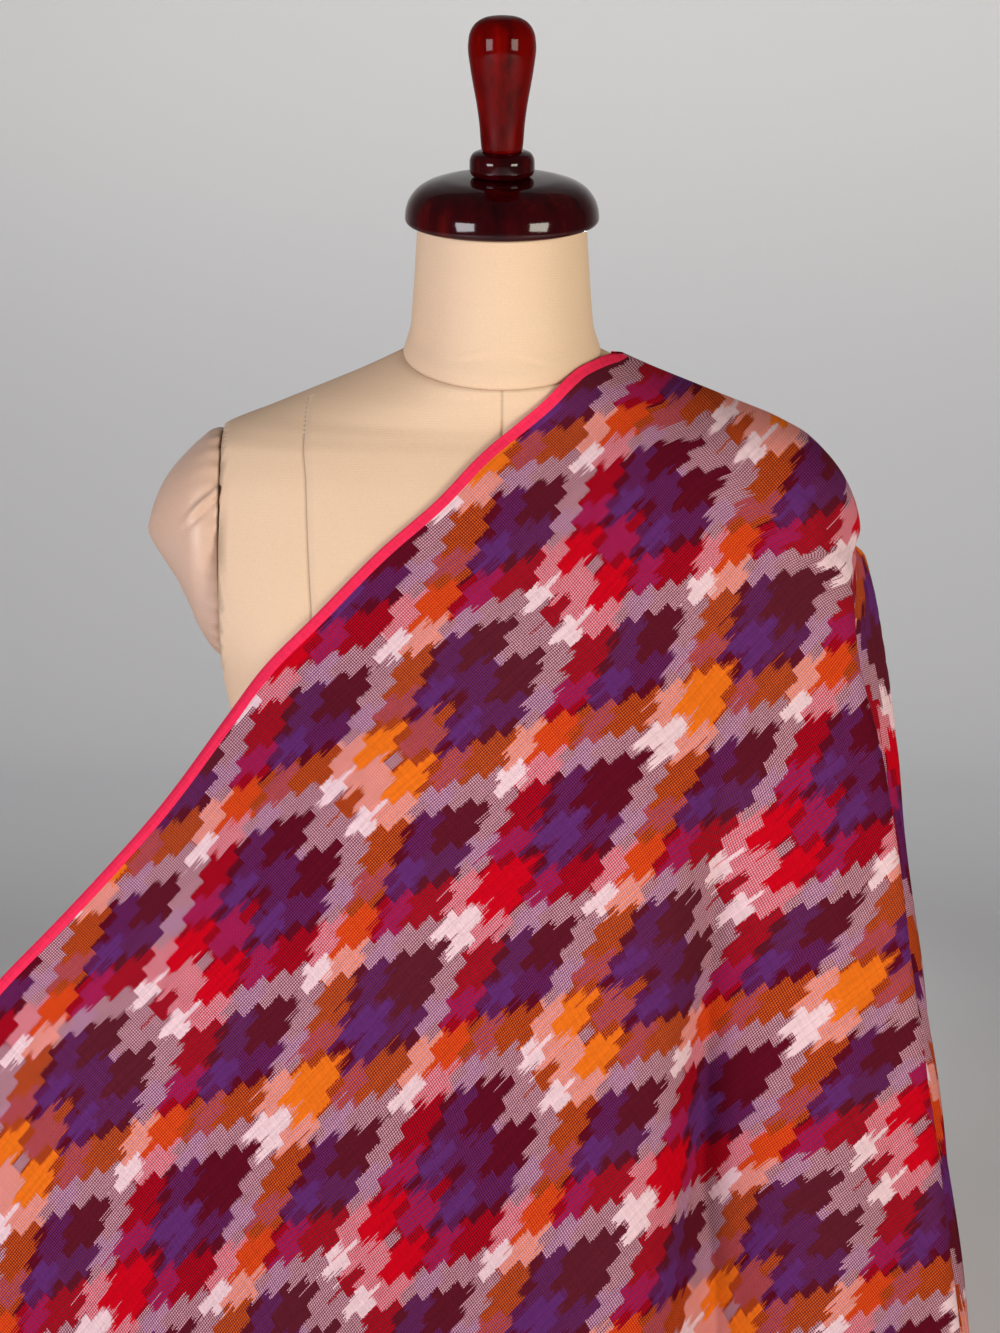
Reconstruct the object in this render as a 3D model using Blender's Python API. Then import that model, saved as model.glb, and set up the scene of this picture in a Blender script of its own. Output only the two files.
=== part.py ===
"""A length of double-ikat cotton draped over a table-top dress form.

Metres, +Z up. X is the viewer's right, +Y points away from the viewer.
The origin is the centre of the form's flat underside, on the surface it stands on.
"""
import math
from collections import namedtuple

import bpy
import numpy as np
from mathutils import Matrix, Vector
from mathutils.bvhtree import BVHTree

# Driving dimensions
GAP = 0.0003             # left between pieces that touch
ARMHOLE_X = 0.178        # the flat armholes of the torso
BUST_X = 0.078           # the two highest points of the bust
BUST_Z = 0.437
BUST_OUT = 0.020
BUST_SPREAD = 0.052
NECK_TILT = 20.5         # degrees, the neck seam drops towards the front
CAP_TILT = 12.0          # degrees, the wooden cap leans forward
CAP_SEAT = (-0.010, 0.7712)  # y and z of the middle of the neck's top
REAR_RISE = 0.25         # how much of a ring's tilt its rear half has

CLOTH_THICK = 0.0015
CLOTH_CLEAR = 0.0046     # from the form's side to the middle of the cloth
CLOTH_NEAREST = 0.0038   # no point of its middle is nearer than this
CLOTH_LIFT = 0.0030      # the same over the flat of the shoulder
CLOTH_TOP = 0.6885
SHOULDER_Z = 0.640       # above this the cloth lies on the shoulder
TIP_Z = 0.566            # below this it hangs free of the arm cap
BUST_ROW_Z = 0.440       # the rows of the cloth are closer above this
FLOOR_BEND = 0.010       # radius where the cloth turns out onto the surface
FOLD_HALF = 0.062        # half the distance between the two side folds
SECTION_POINTS = 321     # of a level section before it is smoothed
CORNER_PASSES = 10       # of smoothing

TORSO_SIDES = 36
NECK_SIDES = 30
UPPER_ROWS = 21          # of the cloth over the shoulder
LOWER_ROWS = 12
LEFT_COLUMNS = 9         # from the front selvedge to the trough
TROUGH_COLUMNS = 10      # across the deep trough of the front
RIGHT_COLUMNS = 4        # from there to the front fold
FOLD_COLUMNS = 4         # from each fold to the valley between them
BACK_COLUMNS = 9         # from the rear fold to the back selvedge

Ring = namedtuple("Ring", "z half_width front back square tilt")
TORSO_RINGS = [
    Ring(0.000, 0.162, 0.102, 0.106, 2.3, 0),
    Ring(0.012, 0.168, 0.109, 0.113, 2.3, 0),
    Ring(0.070, 0.172, 0.113, 0.118, 2.3, 0),
    Ring(0.150, 0.161, 0.108, 0.110, 2.3, 0),
    Ring(0.220, 0.141, 0.098, 0.092, 2.3, 0),
    Ring(0.290, 0.124, 0.089, 0.080, 2.3, 0),
    Ring(0.350, 0.139, 0.099, 0.087, 2.3, 0),
    Ring(0.400, 0.160, 0.109, 0.097, 2.4, 0),
    Ring(0.440, 0.172, 0.114, 0.104, 2.5, 0),
    Ring(0.480, 0.180, 0.113, 0.109, 2.6, 0),
    Ring(0.520, 0.200, 0.107, 0.112, 2.6, 0),
    Ring(0.565, 0.212, 0.095, 0.111, 2.5, 0),
    Ring(0.605, 0.208, 0.081, 0.103, 2.4, 1),
    Ring(0.632, 0.197, 0.070, 0.092, 2.2, 4),
    Ring(0.6455, 0.175, 0.064, 0.083, 2.1, 7.5),
    Ring(0.656, 0.148, 0.061, 0.075, 2.0, 11),
    Ring(0.6675, 0.119, 0.060, 0.069, 2.0, 14.5),
    Ring(0.679, 0.090, 0.060, 0.065, 2.0, 18),
    Ring(0.690, 0.0655, 0.062, 0.062, 2.0, NECK_TILT),
]
BODY_LEVELS = (0.040, 0.620, 15)     # from and to, and how many loops
SHOULDER_LEVELS = (0.630, 0.690, 8)

NeckRing = namedtuple("NeckRing", "z half_width half_depth middle_y tilt rear")
NECK_RINGS = [
    NeckRing(0.6903, 0.0638, 0.0610, 0.000, NECK_TILT, REAR_RISE),
    NeckRing(0.6970, 0.0608, 0.0600, -0.001, NECK_TILT, 0.35),
    NeckRing(0.7060, 0.0584, 0.0590, -0.002, 19.3, 0.50),
    NeckRing(0.7170, 0.0574, 0.0582, -0.0035, 18.0, 0.70),
    NeckRing(0.7320, 0.0562, 0.0573, -0.005, 16.3, 0.90),
    NeckRing(0.7510, 0.0549, 0.0564, -0.008, 14.2, 1.0),
    NeckRing(CAP_SEAT[1], 0.0536, 0.0556, CAP_SEAT[0], CAP_TILT, 1.0),
]

ArmRing = namedtuple("ArmRing", "x top bottom half_depth")
ARM_RINGS = [
    ArmRing(ARMHOLE_X + GAP, 0.6418, 0.4915, 0.057),
    ArmRing(0.1857, 0.6402, 0.4980, 0.0565),
    ArmRing(0.1948, 0.6335, 0.5121, 0.054),
    ArmRing(0.2010, 0.6275, 0.5270, 0.050),
    ArmRing(0.2085, 0.6197, 0.5426, 0.043),
    ArmRing(0.2169, 0.6083, 0.5556, 0.032),
    ArmRing(0.2239, 0.5934, 0.5660, 0.018),
    ArmRing(0.2278, 0.5800, 0.5730, 0.006),
]
ARM_SIDES = 26

# Turned pieces: radius and height above the piece's own seat
CAP_PROFILE = [(0.0585, 0.0), (0.0606, 0.0010), (0.0616, 0.0034), (0.0613, 0.0075), (0.0600, 0.0125),
               (0.0572, 0.0175), (0.0528, 0.0220), (0.0452, 0.0258), (0.0345, 0.0283), (0.0220, 0.0292)]
COLLAR_PROFILE = [(0.0172, 0.0), (0.0196, 0.0016), (0.0206, 0.0048), (0.0205, 0.0100),
                  (0.0186, 0.0143), (0.0150, 0.0160)]
HANDLE_PROFILE = [(0.0124, 0.0), (0.0130, 0.0015), (0.0143, 0.0165), (0.0159, 0.0288), (0.0181, 0.0411),
                  (0.0201, 0.0533), (0.0213, 0.0641), (0.0207, 0.0710), (0.0188, 0.0762),
                  (0.0152, 0.0802), (0.0098, 0.0827), (0.0050, 0.0834)]
TURNED_SIDES = 30

# The selvedge across the front: its height, x, and the depth that it keeps clear of the form
Edge = namedtuple("Edge", "z x y")
FRONT_EDGE = [
    Edge(0.6885, 0.0690, -0.006),
    Edge(0.6837, 0.0520, -0.030),
    Edge(0.6750, 0.0400, -0.045),
    Edge(0.6623, 0.0272, -0.060),
    Edge(0.6453, 0.0066, -0.066),
    Edge(0.6285, -0.0140, -0.070),
    Edge(0.6018, -0.0400, -0.080),
    Edge(0.5720, -0.0750, -0.088),
    Edge(0.5298, -0.1171, -0.088),
    Edge(0.5015, -0.1451, -0.084),
    Edge(0.4651, -0.1725, -0.078),
    Edge(0.4104, -0.2132, -0.085),
    Edge(0.3676, -0.2512, -0.090),
    Edge(0.3276, -0.2893, -0.095),
    Edge(0.3027, -0.3144, -0.100),
    Edge(0.2000, -0.3980, -0.112),
    Edge(0.1000, -0.4740, -0.120),
    Edge(0.0000, -0.5420, -0.125),
]
BACK_EDGE = [
    Edge(0.6885, 0.0710, 0.008),
    Edge(0.6600, 0.0700, 0.060),
    Edge(0.5000, 0.0720, 0.100),
    Edge(0.2500, 0.0780, 0.112),
    Edge(0.0000, 0.0880, 0.122),
]

# The two folds at the side and the valley between them, from the arm cap down
Fold = namedtuple("Fold", "z front_x front_y rear_x rear_y valley")
SIDE_FOLDS = [
    Fold(0.566, 0.2180, -0.044, 0.2350, 0.014, 0.000),
    Fold(0.530, 0.2220, -0.054, 0.2470, 0.028, 0.008),
    Fold(0.500, 0.2260, -0.060, 0.2545, 0.038, 0.022),
    Fold(0.437, 0.2430, -0.067, 0.2670, 0.052, 0.045),
    Fold(0.362, 0.2560, -0.071, 0.2765, 0.060, 0.060),
    Fold(0.285, 0.2670, -0.072, 0.2885, 0.062, 0.070),
    Fold(0.207, 0.2800, -0.072, 0.3010, 0.062, 0.076),
    Fold(0.100, 0.2960, -0.072, 0.3180, 0.062, 0.082),
    Fold(0.000, 0.3100, -0.072, 0.3330, 0.062, 0.086),
]

# Vertical troughs (depth > 0) and crests (depth < 0) in the hanging cloth. Each begins at start,
# and widens and deepens down to full. left and right are its half-widths there.
Trough = namedtuple("Trough", "side x lean start full depth left right")
TROUGHS = [
    Trough("front", 0.1380, 0.000, 0.455, 0.050, 0.042, 0.024, 0.024),
    Trough("front", 0.2000, 0.015, 0.480, 0.100, -0.010, 0.034, 0.036),
    Trough("front", -0.0050, -0.030, 0.400, 0.120, 0.007, 0.045, 0.045),
    Trough("front", -0.2350, -0.150, 0.330, 0.080, 0.009, 0.060, 0.050),
    Trough("back", 0.1300, 0.010, 0.520, 0.150, 0.022, 0.024, 0.028),
    Trough("back", 0.2000, 0.030, 0.480, 0.120, -0.012, 0.030, 0.030),
]
TROUGH_ZONE = (0.075, 0.195)     # from x to x, where the front's columns are close

POOL = {"corner": 0.010, "front": 0.042, "side": 0.010, "back": 0.026}   # cloth lying on the surface

COLOURS = {
    "jersey": ((0.60, 0.40, 0.26), 0.90),
    "wood": ((0.080, 0.008, 0.006), 0.22),
    "ikat": ((0.45, 0.05, 0.06), 0.88),
}


def clear_scene():
    for thing in list(bpy.data.objects):
        bpy.data.objects.remove(thing, do_unlink=True)


def material(name):
    colour, rough = COLOURS[name]
    made = bpy.data.materials.new(name)
    made.use_nodes = True
    shader = made.node_tree.nodes["Principled BSDF"]
    shader.inputs["Base Color"].default_value = (*colour, 1.0)
    shader.inputs["Roughness"].default_value = rough
    return made


def add_object(name, vertices, faces, finish):
    mesh = bpy.data.meshes.new(name)
    mesh.from_pydata([tuple(v) for v in vertices], [], faces)
    mesh.validate()
    mesh.shade_smooth()
    mesh.materials.append(finish)
    made = bpy.data.objects.new(name, mesh)
    bpy.context.collection.objects.link(made)
    return made


def steady_slopes(heights, values):
    """Slopes for a curve through a table that never overshoots between its rows."""
    steps = np.diff(values) / np.diff(heights)
    slopes = np.zeros(len(values))
    slopes[0], slopes[-1] = steps[0], steps[-1]
    for k in range(1, len(values) - 1):
        if steps[k - 1] * steps[k] > 0:
            slopes[k] = 2 * steps[k - 1] * steps[k] / (steps[k - 1] + steps[k])
    return slopes


def read_table(rows, column, height, key="z"):
    """The smooth value of one column of a table at a height."""
    ordered = sorted(rows, key=lambda row: getattr(row, key))
    heights = np.array([getattr(row, key) for row in ordered])
    values = np.array([getattr(row, column) for row in ordered], dtype=float)
    height = min(max(height, heights[0]), heights[-1])
    slopes = steady_slopes(heights, values)
    k = min(int(np.searchsorted(heights, height, side="right")) - 1, len(heights) - 2)
    span = heights[k + 1] - heights[k]
    t = (height - heights[k]) / span
    start = (1 + 2 * t) * (1 - t) ** 2 * values[k] + t * (1 - t) ** 2 * span * slopes[k]
    end = t * t * (3 - 2 * t) * values[k + 1] + t * t * (t - 1) * span * slopes[k + 1]
    return start + end


def closing(vertices, ring, centre):
    """The faces that close a ring of vertices: one flat face, or a fan round a centre."""
    if centre is None:
        return [tuple(ring)]
    vertices.append(centre)
    middle = len(vertices) - 1
    return [(middle, a, b) for a, b in zip(ring, ring[1:] + ring[:1])]


def skin(loops, first=None, last=None):
    """Vertices and faces of a closed solid through loops of equal count, seen counter-clockwise
    from the end that the loops lead to. first and last are the centres of ends that aren't flat."""
    count = len(loops[0])
    vertices = [point for loop in loops for point in loop]
    faces = closing(vertices, list(reversed(range(count))), first)
    for k in range(len(loops) - 1):
        low, high = k * count, (k + 1) * count
        for j in range(count):
            after = (j + 1) % count
            faces.append((low + j, low + after, high + after, high + j))
    faces += closing(vertices, list(range((len(loops) - 1) * count, len(loops) * count)), last)
    return vertices, faces


def rise(y, tilt, rear):
    """How far a tilted ring stands up at y. Its rear half has only a share of the tilt."""
    return math.tan(math.radians(tilt)) * (y if y < 0 else rear * y)


def power(value, exponent):
    return math.copysign(abs(value) ** exponent, value)


def torso_loop(level):
    """One level ring of the torso, with the bust and the flat armholes."""
    ring = {name: read_table(TORSO_RINGS, name, level) for name in Ring._fields[1:]}
    loop = []
    for k in range(TORSO_SIDES):
        angle = 2 * math.pi * (k + 0.5) / TORSO_SIDES
        across, deep = math.cos(angle), math.sin(angle)
        x = ring["half_width"] * power(across, 2 / ring["square"])
        x = min(max(x, -ARMHOLE_X), ARMHOLE_X)
        y = (ring["front"] if deep < 0 else ring["back"]) * power(deep, 2 / ring["square"])
        if deep < 0:
            off = math.hypot((abs(x) - BUST_X) / BUST_SPREAD, (level - BUST_Z) / BUST_SPREAD)
            y -= BUST_OUT * math.exp(-off * off) * min(1.0, -2 * deep)
        loop.append(Vector((x, y, level + rise(y, ring["tilt"], REAR_RISE))))
    return loop


def torso_levels():
    """Even levels up the body, then closer ones over the shoulders."""
    return [0.0, TORSO_RINGS[1].z, *np.linspace(*BODY_LEVELS), *np.linspace(*SHOULDER_LEVELS)]


def tilted_loop(ring, sides):
    loop = []
    for k in range(sides):
        angle = 2 * math.pi * (k + 0.5) / sides
        x = ring.half_width * math.cos(angle)
        y = ring.half_depth * math.sin(angle)
        loop.append(Vector((x, ring.middle_y + y, ring.z + rise(y, ring.tilt, ring.rear))))
    return loop


def arm_loop(ring, side):
    middle, half = (ring.top + ring.bottom) / 2, (ring.top - ring.bottom) / 2
    loop = []
    for k in range(ARM_SIDES):
        angle = side * 2 * math.pi * k / ARM_SIDES
        y = ring.half_depth * power(math.cos(angle), 0.9)
        z = middle + half * power(math.sin(angle), 0.9)
        loop.append(Vector((side * ring.x, y, z)))
    return loop


def turned(profile, seat_height):
    """A turned solid standing on the cap's tilted seat."""
    lean = Matrix.Rotation(math.radians(CAP_TILT), 4, "X")
    place = Matrix.Translation((0.0, *CAP_SEAT)) @ lean
    loops = []
    for radius, height in profile:
        loop = []
        for k in range(TURNED_SIDES):
            angle = 2 * math.pi * k / TURNED_SIDES
            local = Vector((radius * math.cos(angle), radius * math.sin(angle), seat_height + height))
            loop.append(place @ local)
        loops.append(loop)
    return skin(loops)


def build_form(jersey, wood):
    collar_seam = [Vector((0, 0, rings[end].z)) for rings, end in ((TORSO_RINGS, -1), (NECK_RINGS, 0))]
    torso = [torso_loop(level) for level in torso_levels()]
    neck = [tilted_loop(ring, NECK_SIDES) for ring in NECK_RINGS]
    add_object("form_torso", *skin(torso, last=collar_seam[0]), jersey)
    add_object("form_neck", *skin(neck, first=collar_seam[1]), jersey)
    for name, side in (("arm_cap_left", -1), ("arm_cap_right", 1)):
        add_object(name, *skin([arm_loop(ring, side) for ring in ARM_RINGS]), jersey)
    seat = GAP
    for name, profile in (("neck_cap", CAP_PROFILE), ("cap_collar", COLLAR_PROFILE),
                          ("cap_handle", HANDLE_PROFILE)):
        add_object(name, *turned(profile, seat), wood)
        seat += profile[-1][1] + GAP


def form_tree(names):
    vertices, faces = [], []
    for name in names:
        mesh = bpy.data.objects[name].data
        base = len(vertices)
        vertices += [v.co.copy() for v in mesh.vertices]
        faces += [[base + k for k in polygon.vertices] for polygon in mesh.polygons]
    return BVHTree.FromPolygons(vertices, faces)


def touch(tree, start, direction):
    hit = tree.ray_cast(Vector(start), Vector(direction))[0]
    return None if hit is None else (hit.x, hit.y)


def smooth_step(value):
    value = min(max(value, 0.0), 1.0)
    return value * value * (3 - 2 * value)


def hull_path(start, points, end):
    """The taut path from start to end round the points to the right of them, seen from above."""
    cloud = sorted(set([p for p in points if turn(start, end, p) < -1e-6] + [start, end]))
    chains = []
    for order in (cloud, cloud[::-1]):
        chain = []
        for p in order:
            while len(chain) > 1 and turn(chain[-2], chain[-1], p) <= 0:
                chain.pop()
            chain.append(p)
        chains.append(chain[:-1])
    ring = chains[0] + chains[1]
    first = ring.index(start)
    ring = ring[first:] + ring[:first]
    return ring[:ring.index(end) + 1]


def turn(a, b, c):
    return (b[0] - a[0]) * (c[1] - a[1]) - (b[1] - a[1]) * (c[0] - a[0])


def lengths_along(path):
    steps = np.hypot(*np.diff(path, axis=0).T)
    return np.concatenate([[0.0], np.cumsum(steps)])


def resample(path, count):
    path = np.array(path)
    along = lengths_along(path)
    wanted = np.linspace(0.0, along[-1], count)
    return np.column_stack([np.interp(wanted, along, path[:, k]) for k in (0, 1)])


def relax(path, passes):
    for _ in range(passes):
        path[1:-1] = 0.25 * path[:-2] + 0.5 * path[1:-1] + 0.25 * path[2:]
    return path


class Drape:
    """Level sections of the cloth, worked out from the top down.

    Each runs from the front selvedge, round the viewer's right, to the back selvedge. The cloth is
    taut round the form, and below its widest places it hangs straight down from them.
    """

    STATIONS = [k * 0.008 for k in range(-30, 31)]
    DEPTHS = [k * 0.008 for k in range(-14, 15)]
    STEP = 0.005

    def __init__(self, tree):
        self.tree = tree
        self.front, self.back = {}, {}
        self.reached = CLOTH_TOP + self.STEP

    def edge(self, rows, z, facing):
        x, y = read_table(rows, "x", z), read_table(rows, "y", z)
        hit = touch(self.tree, (x, facing, z - self.lift(z)), (0, -facing, 0))
        if hit:
            y = facing * max(facing * y, facing * hit[1] + CLOTH_CLEAR)
        return (x, y)

    @staticmethod
    def lift(z):
        return CLOTH_LIFT * smooth_step((z - TIP_Z) / (SHOULDER_Z - TIP_Z))

    def lower_to(self, z):
        """Hold the form's front and back over from higher up, where they stand out more."""
        while self.reached > z:
            self.reached = max(self.reached - self.STEP, z)
            level = self.reached - self.lift(self.reached)
            for x in self.STATIONS:
                ahead = touch(self.tree, (x, -1, level), (0, 1, 0))
                behind = touch(self.tree, (x, 1, level), (0, -1, 0))
                if ahead:
                    self.front[x] = min(self.front.get(x, 1.0), ahead[1] - CLOTH_CLEAR)
                    self.back[x] = max(self.back.get(x, -1.0), behind[1] + CLOTH_CLEAR)

    def side(self, z):
        level = z - self.lift(z)
        hits = [touch(self.tree, (1, y, level), (-1, 0, 0)) for y in self.DEPTHS]
        return [(hit[0] + CLOTH_CLEAR, hit[1]) for hit in hits if hit]

    def keys(self, z):
        """The section's path, and the places on it of the front fold, the valley and the rear fold."""
        self.lower_to(z)
        start, end = self.edge(FRONT_EDGE, z, -1), self.edge(BACK_EDGE, z, 1)
        fold = {name: read_table(SIDE_FOLDS, name, z) for name in Fold._fields[1:]}
        ahead, behind = (fold["front_x"], fold["front_y"]), (fold["rear_x"], fold["rear_y"])
        hanging = z < TIP_Z
        limit = ahead[0] if hanging else 1.0
        points = [(x, y) for x, y in self.front.items() if start[0] < x < limit - 0.01]
        points += [(x, y) for x, y in self.back.items() if end[0] < x < limit - 0.01]
        points += [ahead, behind] if hanging else self.side(z)
        path = hull_path(start, points, end)
        if hanging:
            return self.with_valley(path, ahead, behind, fold["valley"])
        tip = max(range(len(path)), key=lambda k: path[k][0])
        return path, lengths_along(np.array(path))[tip]

    @staticmethod
    def with_valley(path, ahead, behind, depth):
        before = path[:path.index(ahead) + 1]
        after = path[path.index(behind):]
        across = np.subtract(behind, ahead)
        inward = np.array([-across[1], across[0]]) / np.hypot(*across)
        valley = tuple(np.add(ahead, behind) / 2 + inward * depth)
        along = lengths_along(np.array(before + [valley]))[-1]
        return before + [valley] + after, along

    def section(self, z):
        """The section with a fixed number of points between its key places."""
        path, valley = self.keys(z)
        fine = resample(path, SECTION_POINTS)
        fine = relax(fine, CORNER_PASSES)
        along = lengths_along(fine)
        total = along[-1]
        valley *= total / lengths_along(np.array(path))[-1]
        depth = read_table(SIDE_FOLDS, "valley", z)
        reach = max(math.hypot(depth, FOLD_HALF), 0.10 * total)
        reach = min(reach, 0.45 * valley, 0.45 * (total - valley))
        fold_x = np.interp(valley - reach, along, fine[:, 0])
        first = max(TROUGH_ZONE[0], 0.6 * fine[0][0] + 0.4 * fold_x)
        last = min(TROUGH_ZONE[1], 0.75 * fold_x + 0.25 * first)
        ahead = along < valley - reach
        zone = list(np.interp([first, last], fine[ahead, 0], along[ahead]))
        marks = [0.0, *zone, valley - reach, valley, valley + reach, total]
        counts = [LEFT_COLUMNS, TROUGH_COLUMNS, RIGHT_COLUMNS, FOLD_COLUMNS, FOLD_COLUMNS, BACK_COLUMNS]
        wanted = [0.0]
        for low, high, count in zip(marks, marks[1:], counts):
            wanted += list(np.linspace(low, high, count + 1)[1:])
        points = np.column_stack([np.interp(wanted, along, fine[:, k]) for k in (0, 1)])
        return self.soften(points, z)

    def soften(self, points, z):
        """Press the troughs into the section, no further than onto the form, and raise its crests."""
        outward = outward_normals(points)
        moved = points.copy()
        for trough in TROUGHS:
            share = (trough.start - z) / (trough.start - trough.full)
            grown = math.sin(math.pi / 2 * min(max(share, 0.0), 1.0))
            middle = trough.x + trough.lean * grown
            for k, (x, y) in enumerate(points):
                if (y < 0) != (trough.side == "front"):
                    continue
                width = (trough.left if x < middle else trough.right) * (1 + grown) / 2
                push = grown * trough.depth * math.exp(-abs((x - middle) / width) ** 1.6)
                moved[k] -= outward[k] * push
        for k, (x, y) in enumerate(moved):
            facing = -1 if points[k][1] < 0 else 1
            hit = touch(self.tree, (x, facing, z - self.lift(z)), (0, -facing, 0))
            if hit and facing * y < facing * hit[1] + CLOTH_CLEAR and z < BUST_ROW_Z:
                moved[k][1] = hit[1] + facing * CLOTH_CLEAR
        return moved


def outward_normals(points):
    ahead = np.gradient(points, axis=0)
    normals = np.column_stack([ahead[:, 1], -ahead[:, 0]])
    return normals / np.hypot(*normals.T)[:, None]


def pool_widths(count):
    """How far the cloth lies out on the surface at each column."""
    first = LEFT_COLUMNS + TROUGH_COLUMNS + RIGHT_COLUMNS
    valley = first + FOLD_COLUMNS
    rear = valley + FOLD_COLUMNS
    places = [0, 0.22 * first, 0.6 * first, first, valley, rear, count - 1]
    names = ["corner", "front", "front", "side", "side", "side", "back"]
    wide = np.interp(range(count), places, [POOL[name] for name in names])
    ripple = 1 + 0.22 * np.sin(np.arange(count) * 0.9)
    return wide * ripple


def keep_off(tree, rows):
    """Move the points that lie too close to the form straight off its surface."""
    for row in rows:
        for k, point in enumerate(row):
            here = Vector(point)
            nearest = tree.find_nearest(here, CLOTH_NEAREST)[0]
            if nearest:
                row[k] = nearest + (here - nearest).normalized() * CLOTH_NEAREST
    return rows


def cloth_rows(drape):
    """Rows of points down the cloth and out onto the surface."""
    rows = []
    upper = CLOTH_TOP + (BUST_ROW_Z - CLOTH_TOP) * np.linspace(0, 1, UPPER_ROWS + 1) ** 1.3
    lower = np.linspace(BUST_ROW_Z, FLOOR_BEND, LOWER_ROWS + 1)[1:]
    for z in [*upper, *lower]:
        rows.append([(x, y, z) for x, y in drape.section(z)])
    foot = np.array(rows[-1])[:, :2]
    outward = outward_normals(foot)
    lowest = CLOTH_THICK / 2 + 0.0002
    radius = FLOOR_BEND - lowest
    for angle in (math.radians(50), math.radians(90)):
        out = radius * (1 - math.cos(angle))
        rows.append([(*p, FLOOR_BEND - radius * math.sin(angle)) for p in foot + outward * out])
    wide = pool_widths(len(foot))[:, None]
    for share in (0.5, 1.0):
        rows.append([(*p, lowest) for p in foot + outward * (radius + share * wide)])
    return rows


def build_cloth(finish):
    drape = Drape(form_tree(["form_torso", "form_neck", "arm_cap_right"]))
    rows = keep_off(drape.tree, cloth_rows(drape))
    count = len(rows[0])
    faces = []
    for k in range(len(rows) - 1):
        for j in range(count - 1):
            here, below = k * count + j, (k + 1) * count + j
            faces.append((here, below, below + 1, here + 1))
    cloth = add_object("cloth", [point for row in rows for point in row], faces, finish)
    wall = cloth.modifiers.new("thickness", "SOLIDIFY")
    wall.thickness = CLOTH_THICK
    wall.offset = 0.0
    wall.use_even_offset = False
    return cloth


clear_scene()
build_form(material("jersey"), material("wood"))
build_cloth(material("ikat"))
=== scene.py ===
import math

import bpy
import numpy as np
from mathutils import Matrix, Vector
from mathutils.bvhtree import BVHTree


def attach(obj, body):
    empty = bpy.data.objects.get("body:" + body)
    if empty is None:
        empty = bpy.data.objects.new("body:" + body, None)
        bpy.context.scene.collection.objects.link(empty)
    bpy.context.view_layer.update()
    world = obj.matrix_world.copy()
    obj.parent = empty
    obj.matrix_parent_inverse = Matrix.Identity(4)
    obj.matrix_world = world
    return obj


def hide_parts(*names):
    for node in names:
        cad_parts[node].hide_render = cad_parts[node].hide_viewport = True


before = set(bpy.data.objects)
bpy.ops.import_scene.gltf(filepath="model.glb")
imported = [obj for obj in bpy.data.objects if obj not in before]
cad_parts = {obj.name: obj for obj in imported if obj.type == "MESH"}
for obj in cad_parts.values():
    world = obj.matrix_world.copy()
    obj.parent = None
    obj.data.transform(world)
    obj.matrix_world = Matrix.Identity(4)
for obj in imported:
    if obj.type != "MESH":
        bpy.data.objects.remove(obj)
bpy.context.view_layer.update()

scene = bpy.context.scene
scene.view_settings.view_transform = "Standard"

camera = {
    "place": (-0.0013, -1.9805, 0.7643),
    "down": 8.0,          # degrees below level
    "lens": 55.4,
    "filmWidth": 24.0,
}


def makeCamera():
    data = bpy.data.cameras.new("camera")
    data.lens = camera["lens"]
    data.sensor_width = camera["filmWidth"]
    eye = bpy.data.objects.new("camera", data)
    eye.location = camera["place"]
    eye.rotation_euler = (math.radians(90 - camera["down"]), 0, 0)
    scene.collection.objects.link(eye)
    scene.camera = eye


makeCamera()
print("camera set")


# small tools used by several pieces

class Curve:
    # a smooth line through (at, value) pairs that never overshoots between them
    def __init__(self, at, values):
        order = np.argsort(at)
        self.at = np.array(at, dtype=float)[order]
        self.values = np.array(values, dtype=float)[order]
        steps = np.diff(self.values) / np.diff(self.at)
        self.slopes = np.zeros(len(self.at))
        self.slopes[0], self.slopes[-1] = steps[0], steps[-1]
        for k in range(1, len(self.at) - 1):
            if steps[k - 1] * steps[k] > 0:
                self.slopes[k] = 2 * steps[k - 1] * steps[k] / (steps[k - 1] + steps[k])

    def __call__(self, where):
        where = np.clip(where, self.at[0], self.at[-1])
        k = np.clip(np.searchsorted(self.at, where, side="right") - 1, 0, len(self.at) - 2)
        span = self.at[k + 1] - self.at[k]
        t = (where - self.at[k]) / span
        start = (1 + 2 * t) * (1 - t) ** 2 * self.values[k] + t * (1 - t) ** 2 * span * self.slopes[k]
        end = t * t * (3 - 2 * t) * self.values[k + 1] + t * t * (t - 1) * span * self.slopes[k + 1]
        return start + end


def curvesOf(rows):
    columns = list(zip(*rows))
    return [Curve(columns[0], column) for column in columns[1:]]


def smoothStep(value):
    value = np.clip(value, 0.0, 1.0)
    return value * value * (3 - 2 * value)


def power(value, exponent):
    return np.sign(value) * np.abs(value) ** exponent


def deselect():
    for thing in bpy.context.selected_objects:
        thing.select_set(False)


def addMesh(name, vertices, faces):
    # a fourth number of a vertex says how near it is to a sewn line, and so how dark it is painted: a dark
    # thread line, and painted shade in the crevices at the armholes and under the neck roll
    mesh = bpy.data.meshes.new(name)
    mesh.from_pydata([tuple(v[:3]) for v in vertices], [], faces)
    mesh.validate()
    if len(vertices[0]) > 3:
        sewing = mesh.uv_layers.new(name="sewing")
        for loop in mesh.loops:
            place = vertices[loop.vertex_index]
            sewing.data[loop.index].uv = (place[3], place[2])
    piece = bpy.data.objects.new(name, mesh)
    scene.collection.objects.link(piece)
    mesh.shade_smooth()
    return piece


def closing(vertices, ring, centre):
    if centre is None:
        return [tuple(ring)]
    vertices.append(centre)
    middle = len(vertices) - 1
    return [(middle, a, b) for a, b in zip(ring, ring[1:] + ring[:1])]


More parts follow.
